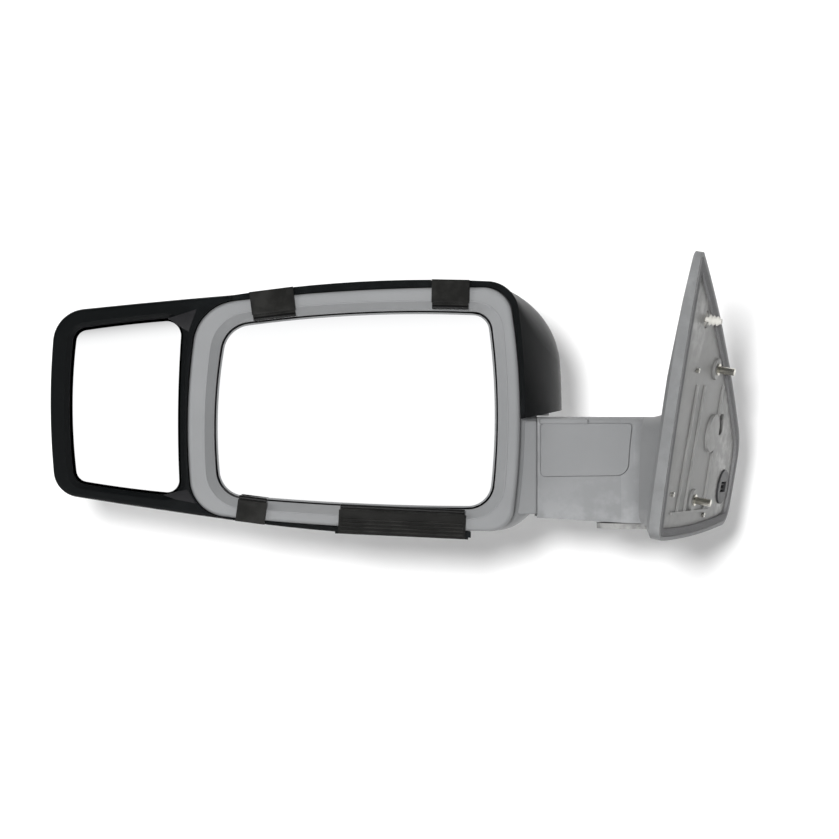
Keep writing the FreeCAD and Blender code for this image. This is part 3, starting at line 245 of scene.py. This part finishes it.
def edge_ends(node, low_edge):
    """Ends of the lower (or upper) edge of a strap's face, as seen from behind."""
    points = [vertex.co for vertex in nodes[node].data.vertices]
    rear = min(point.y for point in points)
    face = [point for point in points if point.y < rear + STRAP_FACE_T]
    left, right = min(p.x for p in face), max(p.x for p in face)
    span = (right - left) * 0.25
    sign = 1 if low_edge else -1
    ends = []
    for near in (lambda p: p.x < left + span, lambda p: p.x > right - span):
        ends.append(min((p for p in face if near(p)), key=lambda p: p.z * sign))
    return Vector((ends[0].x, rear, ends[0].z)), Vector((ends[1].x, rear, ends[1].z))


def shade(colour, factor):
    return tuple(min(channel * factor, 1.0) for channel in colour) + (1.0,)


def moulded_plastic(name, colour, roughness, grain_depth, grain_scale=900.0, worn=1.6, dusty=0.12,
                    specular=0.45):
    """Injection-moulded plastic: grain, tone drift, paler rubbed edges and a little dust."""
    finish = Finish(name, roughness, specular=specular)
    grain = finish.group(GRAIN, Grain_Scale=grain_scale)
    wear = finish.group(WEAR)
    dust = finish.group(DUST, Amount=dusty)
    tone = finish.mix(grain.outputs["Tone"], shade(colour, 0.94), shade(colour, 1.06))
    rubbed = finish.mix(wear.outputs["Mask"], tone, shade(colour, worn))
    finish.colour(finish.mix(dust.outputs["Mask"], rubbed, (0.45, 0.43, 0.40, 1.0)))
    base = finish.spread(grain.outputs["Tone"], 0.0, 1.0, roughness - 0.04, roughness + 0.05)
    finish.roughness(finish.maths("ADD", base, finish.maths("MULTIPLY", dust.outputs["Mask"], 0.4), True))
    finish.bump(grain.outputs["Height"], grain_depth, 0.5)
    return finish.material


def plain_moulding(name, colour, roughness):
    """Hidden inner plastic: smooth, with flow marks."""
    finish = Finish(name, roughness)
    grain = finish.group(GRAIN, Grain_Scale=260.0, Drift_Scale=30.0)
    finish.colour(finish.mix(grain.outputs["Tone"], shade(colour, 0.8), shade(colour, 1.25)))
    finish.roughness(finish.spread(grain.outputs["Tone"], 0.0, 1.0, roughness - 0.08, roughness + 0.1))
    finish.bump(grain.outputs["Height"], 0.00004, 0.4)
    return finish.material


def drawn_metal(name, colour, roughness, stretch, tarnish):
    """Plated or oiled steel with drawn lines and a patchy tint."""
    finish = Finish(name, roughness, metallic=1.0)
    lines = finish.group(LINES, Stretch=stretch)
    grain = finish.group(GRAIN, Drift_Scale=60.0)
    wear = finish.group(WEAR, Sharpness=0.52)
    tone = finish.mix(grain.outputs["Tone"], shade(colour, 0.85), tarnish)
    finish.colour(finish.mix(wear.outputs["Mask"], tone, shade(colour, 1.4)))
    finish.roughness(finish.spread(lines.outputs["Height"], 0.3, 0.7, roughness - 0.1, roughness + 0.12))
    finish.bump(lines.outputs["Height"], 0.00003, 0.5)
    return finish.material


def cast_metal(name, colour):
    """Die-cast bracket: pebbled skin, dull, brighter on its machined edges."""
    finish = Finish(name, 0.5, metallic=0.35)
    grain = finish.group(GRAIN, Grain_Scale=420.0, Drift_Scale=26.0)
    wear = finish.group(WEAR, Sharpness=0.52, Break_Up=90.0)
    tone = finish.mix(grain.outputs["Tone"], shade(colour, 0.82), shade(colour, 1.15))
    finish.colour(finish.mix(wear.outputs["Mask"], tone, shade(colour, 1.5)))
    finish.roughness(finish.spread(grain.outputs["Tone"], 0.0, 1.0, 0.42, 0.62))
    finish.bump(grain.outputs["Height"], 0.00012, 0.6)
    return finish.material


def silvered_glass(name, node, painted_top_shade):
    """Sharp silvered surface with a faint wipe haze, and painted shade that darkens it towards its top edge.
    """
    finish = Finish(name, 0.0, metallic=1.0)
    place = finish.add("ShaderNodeTexCoord").outputs["Object"]
    haze = finish.spread(finish.noise(place, 14.0, 5.0, 0.6), 0.45, 0.8, 0.0, 1.0)
    clear = finish.mix(haze, (0.985, 0.988, 0.99, 1.0), (0.965, 0.97, 0.975, 1.0))
    left, right = edge_ends(node, False)
    slope = (right.z - left.z) / (right.x - left.x)
    split = finish.add("ShaderNodeSeparateXYZ")
    finish.join(place, split.inputs[0])
    # painted shade: a mask that rises towards the glass's top edge and darkens the silvering there
    level = finish.maths("SUBTRACT", split.outputs["Z"], finish.maths("MULTIPLY", split.outputs["X"], slope))
    top = left.z - slope * left.x
    near = finish.spread(level, top - PAINTED_TOP_SHADE_H, top, 0.0, 1.0)
    soft = finish.maths("MULTIPLY", near, near)
    finish.colour(finish.mix(soft, clear, (painted_top_shade, painted_top_shade, painted_top_shade * 1.01, 1.0)))
    return finish.material


def foam_rubber(name):
    """Closed-cell foam with open pores on its cut faces."""
    finish = Finish(name, 0.9, specular=0.2)
    place = finish.add("ShaderNodeTexCoord").outputs["Object"]
    pores = finish.add("ShaderNodeTexVoronoi")
    finish.join(place, pores.inputs["Vector"])
    pores.inputs["Scale"].default_value = 1400.0
    finish.colour(finish.mix(pores.outputs["Distance"], (0.14, 0.14, 0.142, 1), (0.23, 0.23, 0.235, 1)))
    finish.bump(pores.outputs["Distance"], 0.0002, 0.8)
    return finish.material


def printed_film(name):
    """Heater film: amber backing with printed conductor lines."""
    finish = Finish(name, 0.35)
    place = finish.add("ShaderNodeTexCoord").outputs["Object"]
    wave = finish.add("ShaderNodeTexWave", bands_direction="Z")
    finish.join(place, wave.inputs["Vector"])
    wave.inputs["Scale"].default_value = 55.0
    wave.inputs["Distortion"].default_value = 0.6
    line = finish.spread(wave.outputs["Fac"], 0.55, 0.6, 0.0, 1.0)
    finish.colour(finish.mix(line, (0.45, 0.22, 0.08, 1), (0.62, 0.6, 0.55, 1)))
    finish.bump(line, 0.00005, 0.6)
    return finish.material


# height of the painted shade band along the top edge of each glass
PAINTED_TOP_SHADE_H = 0.016
GREY = (0.200, 0.204, 0.208)
BLACK = (0.0034, 0.0040, 0.0043)
CLIP_BLACK = (0.0095, 0.0095, 0.009)
# painted highlight: a lighter copy of the black shell plastic, for gusset facets that catch the light
PAINTED_LIT_FACET_BLACK = moulded_plastic("black facet plastic with painted highlight", (0.014, 0.014, 0.015), 0.45, 0.00008, 800.0, 2.0,
                           0.01, 0.2)
# polished black, and darker than the clip black as painted shade on the rolled lip
SHADED_GLOSSY_LIP = moulded_plastic("polished black lip with painted shade", (0.005, 0.005, 0.005), 0.16, 0.00001, 900.0, 1.5, 0.0)
FINISHES = {
    "mirror_plastic": moulded_plastic("grey head plastic", GREY, 0.42, 0.00006, worn=1.35),
    "arm_plastic": moulded_plastic("grey arm plastic", GREY, 0.46, 0.00007, worn=1.3),
    "tow_plastic": moulded_plastic("black shell plastic", BLACK, 0.40, 0.00010, 800.0, 2.4, 0.008, 0.16),
    "clip_plastic": moulded_plastic("black clip plastic", CLIP_BLACK, 0.34, 0.00004, 1200.0, 2.2, 0.01, 0.2),
    "mirror_glass": silvered_glass("silvered main glass", "main_glass", 0.88),
    "inner_plastic": plain_moulding("inner black plastic", (0.04, 0.04, 0.042), 0.5),
    "heater_film": printed_film("heater film"),
    "cast_alloy": cast_metal("cast bracket", (0.285, 0.285, 0.280)),
    "zinc_steel": drawn_metal("zinc-plated steel", (0.62, 0.62, 0.6), 0.32, (60.0, 60.0, 900.0),
                              (0.60, 0.57, 0.47, 1.0)),
    "spring_steel": drawn_metal("oiled spring steel", (0.3, 0.3, 0.31), 0.38, (200.0, 200.0, 700.0),
                                (0.2, 0.18, 0.16, 1.0)),
    "white_nylon": plain_moulding("natural nylon", (0.62, 0.61, 0.57), 0.45),
    "foam": foam_rubber("grey foam rubber"),
}


NODE_FINISHES = {
    # the outboard glass takes deeper painted shade along its top edge
    "spotter_glass": silvered_glass("silvered outboard glass", "spotter_glass", 0.55),
    # painted shade: the base cover gets a darker copy of the grey plastic, for the shade on the base
    "base_cover": moulded_plastic("grey base plastic darkened as painted shade", (0.150, 0.153, 0.155), 0.46, 0.00007, worn=1.3),
}


# ---- outlines read from the frame -------------------------------------------------------------
def rear_outlines(node):
    """Corners of each boundary of a node's rearmost flat face, the widest boundary first."""
    mesh = nodes[node].data
    level = min(vertex.co.y for vertex in mesh.vertices)
    uses = {}
    for face in mesh.polygons:
        corners = [tuple(round(value, 6) for value in mesh.vertices[i].co) for i in face.vertices]
        if max(corner[1] for corner in corners) < level + FLAT_TOL:
            for edge in map(frozenset, zip(corners, corners[1:] + corners[:1])):
                uses[edge] = uses.get(edge, 0) + 1
    beside = {}
    for edge, count in uses.items():
        for corner in edge if count == 1 else ():
            beside.setdefault(corner, set()).update(edge)
    outlines = []
    while beside:
        outline, waiting = [], [next(iter(beside))]
        while waiting:
            corner = waiting.pop()
            if corner in beside:
                outline.append(Vector(corner))
                waiting.extend(beside.pop(corner))
        outlines.append(outline)
    return sorted(outlines, key=lambda outline: -max(point.x for point in outline))


def rear_points(node, count, inner=False):
    """Outline of a node's rearmost face, evenly spaced in angle."""
    outline = rear_outlines(node)[1 if inner else 0]
    low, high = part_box(node)
    middle = (low + high) * 0.5
    polar = sorted((math.atan2(p.z - middle.z, p.x - middle.x), math.hypot(p.x - middle.x, p.z - middle.z))
                   for p in outline)
    points = []
    for i in range(count):
        angle = -math.pi + 2 * math.pi * (i + 0.5) / count
        radius = radius_at(polar, angle)
        points.append(Vector((middle.x + math.cos(angle) * radius, outline[0].y,
                              middle.z + math.sin(angle) * radius)))
    return points


def radius_at(polar, angle):
    """Radius where a ray meets the straight line between the two nearest corners of an outline."""
    after = next((i for i, (a, _) in enumerate(polar) if a > angle), 0)
    (a0, r0), (a1, r1) = polar[after - 1], polar[after]
    first = Vector((math.cos(a0) * r0, math.sin(a0) * r0))
    edge = Vector((math.cos(a1) * r1, math.sin(a1) * r1)) - first
    ray = Vector((math.cos(angle), math.sin(angle)))
    across = ray.x * edge.y - ray.y * edge.x
    if abs(across) < 1e-9:
        return r0
    return (first.x * edge.y - first.y * edge.x) / across


def grown(points, distance):
    """The outline moved outwards by a distance, at its own depth."""
    moved = []
    for i, point in enumerate(points):
        along = points[(i + 1) % len(points)] - points[i - 1]
        moved.append(point + Vector((along.z, 0, -along.x)).normalized() * distance)
    return moved


# ---- modelling, one operation at a time ------------------------------------------------------------
def deselect():
    bpy.ops.object.select_all(action="DESELECT")


def edit_start(piece):
    deselect()
    piece.select_set(True)
    bpy.context.view_layer.objects.active = piece
    bpy.ops.object.mode_set(mode="EDIT")


def edit_end():
    bpy.ops.mesh.select_all(action="SELECT")
    bpy.ops.mesh.normals_make_consistent(inside=False)
    bpy.ops.object.mode_set(mode="OBJECT")


def loop_piece(name, points):
    """A filled face whose corners are put, one by one, at the points."""
    deselect()
    bpy.ops.mesh.primitive_circle_add(vertices=len(points), radius=0.01, fill_type="NGON")
    piece = bpy.context.object
    piece.name = name
    edit_start(piece)
    bpy.ops.mesh.select_mode(type="VERT")
    for i, point in enumerate(points):
        bpy.ops.mesh.select_all(action="DESELECT")
        mesh = bmesh.from_edit_mesh(piece.data)
        mesh.verts.ensure_lookup_table()
        mesh.verts[i].select = True
        step = point - mesh.verts[i].co
        mesh.select_flush(True)
        bpy.ops.transform.translate(value=step)
    bpy.ops.mesh.select_all(action="SELECT")
    return piece


def thicken(depth):
    """Pull the selected faces forward (away from the viewer) by a depth."""
    bpy.ops.mesh.extrude_region_move(TRANSFORM_OT_translate={"value": (0, depth, 0)})
    bpy.ops.mesh.select_all(action="SELECT")
    bpy.ops.mesh.normals_make_consistent(inside=False)


def ring_piece(name, points, width, depth, edge):
    """A flat ring that follows an outline, outwards by a width, with softened edges."""
    piece = loop_piece(name, grown(points, width))
    bpy.ops.mesh.inset(thickness=width)
    bpy.ops.mesh.delete(type="FACE")
    bpy.ops.mesh.select_all(action="SELECT")
    thicken(depth)
    bpy.ops.mesh.bevel(offset=edge, segments=2)
    edit_end()
    finish_piece(piece)
    return piece


def finish_piece(piece, angle=35.0):
    """Smooth shading, transforms applied."""
    deselect()
    piece.select_set(True)
    bpy.context.view_layer.objects.active = piece
    bpy.ops.object.transform_apply(location=True, rotation=True, scale=True)
    bpy.ops.object.shade_smooth_by_angle(angle=math.radians(angle))


def block_piece(name, low, high, edge, segments=3):
    """A box between two corners with rounded edges."""
    middle = (low + high) * 0.5
    deselect()
    bpy.ops.mesh.primitive_cube_add(size=1.0, location=middle)
    piece = bpy.context.object
    piece.name = name
    piece.scale = high - low
    bpy.ops.object.transform_apply(location=True, rotation=True, scale=True)
    edit_start(piece)
    bpy.ops.mesh.select_all(action="SELECT")
    bpy.ops.mesh.bevel(offset=edge, segments=segments)
    edit_end()
    finish_piece(piece)
    return piece


def rod_piece(name, start, end, radius):
    """A rounded bar between two points with softened ends."""
    along = end - start
    deselect()
    bpy.ops.mesh.primitive_cylinder_add(vertices=24, radius=radius, depth=along.length,
                                        location=(start + end) * 0.5)
    piece = bpy.context.object
    piece.name = name
    piece.rotation_euler = along.to_track_quat("Z", "Y").to_euler()
    edit_start(piece)
    bpy.ops.mesh.select_all(action="SELECT")
    bpy.ops.mesh.edges_select_sharp(sharpness=math.radians(60))
    bpy.ops.mesh.bevel(offset=radius * 0.35, segments=3)
    edit_end()
    finish_piece(piece)
    return piece


def give(piece, body, slot, finish=None):
    piece.data.materials.append(finish or FINISHES[slot])
    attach(piece, body)
    return piece


# ---- pieces --------------------------------------------------------------------------------------
GLASS_TRIM_W = 0.0015
BEAD_W = 0.0012
LIP_R = 0.0017
ARM_STRIP_H = 0.0050
ARM_STRIP_PROUD = 0.0009
ARM_STRIP_SHORT = 0.036     # short of the panel's inboard end, clear of the base at full fold


def make_glass_trim():
    """Pale moulded rim of the tray that the main glass sits in."""
    rim = [point + Vector((0, 0.0002, 0)) for point in rear_points("main_glass", 160)]
    give(ring_piece("glass_tray_rim", rim, GLASS_TRIM_W, 0.0030, 0.0002), "glass", "mirror_plastic")


def make_bezel_bead():
    """Raised bead where the bezel's flat band meets its sloping step."""
    loop = [point + Vector((0, -0.0004, 0)) for point in rear_points("mirror_bezel", 160, inner=True)]
    give(ring_piece("bezel_bead", loop, BEAD_W, 0.0012, 0.0004), "head", "mirror_plastic")


def make_clip_lips():
    """Rolled, polished lip along each clip's edge nearest the glass, darker than the clip as painted shade."""
    for node, body, low_edge in (("top_clip_outer", "head", True), ("top_clip_inner", "head", True),
                                 ("bottom_clip", "head", False), ("lower_clamp", "clamp", False)):
        start, end = edge_ends(node, low_edge)
        lift = Vector((0, LIP_R, (1 if low_edge else -1) * LIP_R * 0.8))
        give(rod_piece(node + "_lip", start + lift, end + lift, LIP_R), body, "clip_plastic", SHADED_GLOSSY_LIP)


def make_arm_strip():
    """Rounded strip along the top of the arm's rear cover, with a groove under it."""
    low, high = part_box("arm_rear_cover")
    panel_low, panel_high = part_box("arm_rear_panel")
    start = Vector((panel_low.x - 0.001, low.y - ARM_STRIP_PROUD, high.z - 0.0012 - ARM_STRIP_H))
    end = Vector((panel_high.x - ARM_STRIP_SHORT, low.y + 0.004, high.z - 0.0012))
    give(block_piece("arm_top_strip", start, end, 0.0018, 4), "head", "arm_plastic")


def make_collar():
    """Collar on the end of the housing that the arm's covers run up to."""
    low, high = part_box("arm_rear_cover")
    start = Vector((BEZEL_HIGH.x - 0.004, low.y - 0.0022, low.z + 0.0075))
    end = Vector((low.x - 0.0004, -0.008, high.z - 0.003))
    collar = block_piece("arm_collar", start, end, 0.0022, 4)
    give(collar, "head", "mirror_plastic")


def make_frame_gussets():
    """Raised three-cornered webs beside the outboard glass, above and below, in a lighter black that is a
    painted highlight on their facets.
    """
    low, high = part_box("spotter_glass")
    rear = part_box("spotter_bezel")[0].y - 0.0005
    upper = [(0.000, 0.0010), (0.0235, 0.0085), (0.0170, -0.0100), (0.0105, -0.0060)]
    lower = [(0.000, -0.0010), (0.0200, 0.0035), (0.0270, -0.0080), (0.0100, -0.0045)]
    places = (("frame_gusset_upper", upper, Vector((high.x - 0.010, rear, high.z + 0.0010))),
              ("frame_gusset_lower", lower, Vector((high.x - 0.014, rear, low.z - 0.0010))))
    for name, shape, place in places:
        piece = loop_piece(name, [place + Vector((x, 0, z)) for x, z in shape])
        thicken(0.0022)
        bpy.ops.mesh.bevel(offset=0.0004, segments=2)
        edit_end()
        finish_piece(piece)
        give(piece, "head", "tow_plastic", PAINTED_LIT_FACET_BLACK)


def paint_nodes():
    """Give every CAD node its own finish, or else the finish of its slot."""
    for part in frame["record"]["subparts"]:
        piece = nodes[part["node"]]
        piece.data.materials.clear()
        piece.data.materials.append(NODE_FINISHES.get(part["node"], FINISHES[part["material_slot"]]))


# ---- picture --------------------------------------------------------------------------------
def add_camera():
    data = bpy.data.cameras.new("rear view camera")
    data.sensor_width = SENSOR_W
    data.lens = SENSOR_W * CAMERA_BACK / FRAME_WIDTH
    data.clip_end = 30.0
    camera = bpy.data.objects.new("rear view camera", data)
    camera.location = ((BEZEL_LOW.x + BEZEL_HIGH.x) * 0.5 + AIM_ASIDE, BEZEL_LOW.y - CAMERA_BACK,
                       (BEZEL_LOW.z + BEZEL_HIGH.z) * 0.5 + AIM_LIFT)
    camera.rotation_euler = (math.radians(90), 0, 0)
    bpy.context.scene.collection.objects.link(camera)
    bpy.context.scene.camera = camera
    return camera


def area_light(name, place, target, size, power):
    data = bpy.data.lights.new(name, "AREA")
    data.shape = "DISK"
    data.size = size
    data.energy = power
    lamp = bpy.data.objects.new(name, data)
    lamp.location = place
    lamp.rotation_euler = (Vector(target) - Vector(place)).to_track_quat("-Z", "Y").to_euler()
    bpy.context.scene.collection.objects.link(lamp)
    return lamp


def add_light(camera):
    """A soft lamp close to the lens casts the shadow on the wall; a large one lights from high left."""
    eye = camera.location
    aim = Vector((eye.x, 0.0, eye.z))
    front = area_light("front lamp", (eye.x - 0.24, eye.y, eye.z + 0.22), aim, 0.30, 58.0)
    front.visible_glossy = False
    side = area_light("high left lamp", (eye.x - 1.9, -1.5, 1.5), aim, 1.2, 30.0)
    side.visible_glossy = False


def add_world():
    """White surroundings as the lens and the mirrors see them; dimmer for diffuse light and sheen."""
    world = bpy.data.worlds.new("studio")
    bpy.context.scene.world = world
    world.use_nodes = True
    build = Tree(world.node_tree)
    sky = world.node_tree.nodes["Background"]
    path = build.add("ShaderNodeLightPath")
    split = build.add("ShaderNodeSeparateXYZ")
    build.join(build.add("ShaderNodeTexCoord").outputs["Generated"], split.inputs[0])
    sky.inputs["Color"].default_value = (1.0, 1.0, 1.0, 1.0)
    sheen = build.spread(split.outputs["X"], 0.2, 0.95, 0.05, 0.55)
    rough = build.maths("SUBTRACT", path.outputs["Is Glossy Ray"], path.outputs["Is Singular Ray"], True)
    lit = build.spread(path.outputs["Is Diffuse Ray"], 0.0, 1.0, 1.03, 0.20)
    blend = build.add("ShaderNodeMix", data_type="FLOAT")
    build.feed(blend.inputs[0], rough)
    build.feed(blend.inputs[2], lit)
    build.feed(blend.inputs[3], sheen)
    build.join(blend.outputs[0], sky.inputs["Strength"])
    world.cycles.sampling_method = "NONE"


def paper_material(name, tone, clear_behind):
    """Matt pale paper; the wall's is clear when seen from behind."""
    material = bpy.data.materials.new(name)
    material.use_nodes = True
    build = Tree(material.node_tree)
    shader = material.node_tree.nodes["Principled BSDF"]
    shader.inputs["Base Color"].default_value = (tone, tone, tone, 1.0)
    shader.inputs["Roughness"].default_value = 1.0
    shader.inputs["Specular IOR Level"].default_value = 0.0
    if clear_behind:
        facing = build.add("ShaderNodeNewGeometry").outputs["Backfacing"]
        mix = build.add("ShaderNodeMixShader")
        clear = build.add("ShaderNodeBsdfTransparent")
        build.join(facing, mix.inputs[0])
        build.join(shader.outputs[0], mix.inputs[1])
        build.join(clear.outputs[0], mix.inputs[2])
        build.join(mix.outputs[0], material.node_tree.nodes["Material Output"].inputs["Surface"])
    return material


def add_stage(camera):
    """Pale floor well below, and a paper wall behind that takes the soft shadow."""
    low = cad_box[0]
    bpy.ops.object.select_all(action="DESELECT")
    bpy.ops.mesh.primitive_plane_add(size=FLOOR_SIZE, location=(MIDDLE.x, 0, low[2] - FLOOR_GAP))
    floor = bpy.context.object
    floor.name = "floor"
    floor.data.materials.append(paper_material("floor paper", 0.7, False))
    bpy.ops.mesh.primitive_plane_add(size=WALL_SIZE, location=(camera.location.x, cad_box[1][1] + BACKDROP_GAP,
                                                         low[2] - FLOOR_GAP + WALL_SIZE / 2),
                                     rotation=(math.radians(90), 0, 0))
    wall = bpy.context.object
    wall.name = "wall"
    wall.data.materials.append(paper_material("wall paper", 0.93, True))


paint_nodes()
make_glass_trim()
make_bezel_bead()
make_clip_lips()
make_arm_strip()
make_collar()
make_frame_gussets()
camera = add_camera()
add_light(camera)
add_world()
add_stage(camera)
bpy.context.scene.view_settings.view_transform = "Standard"
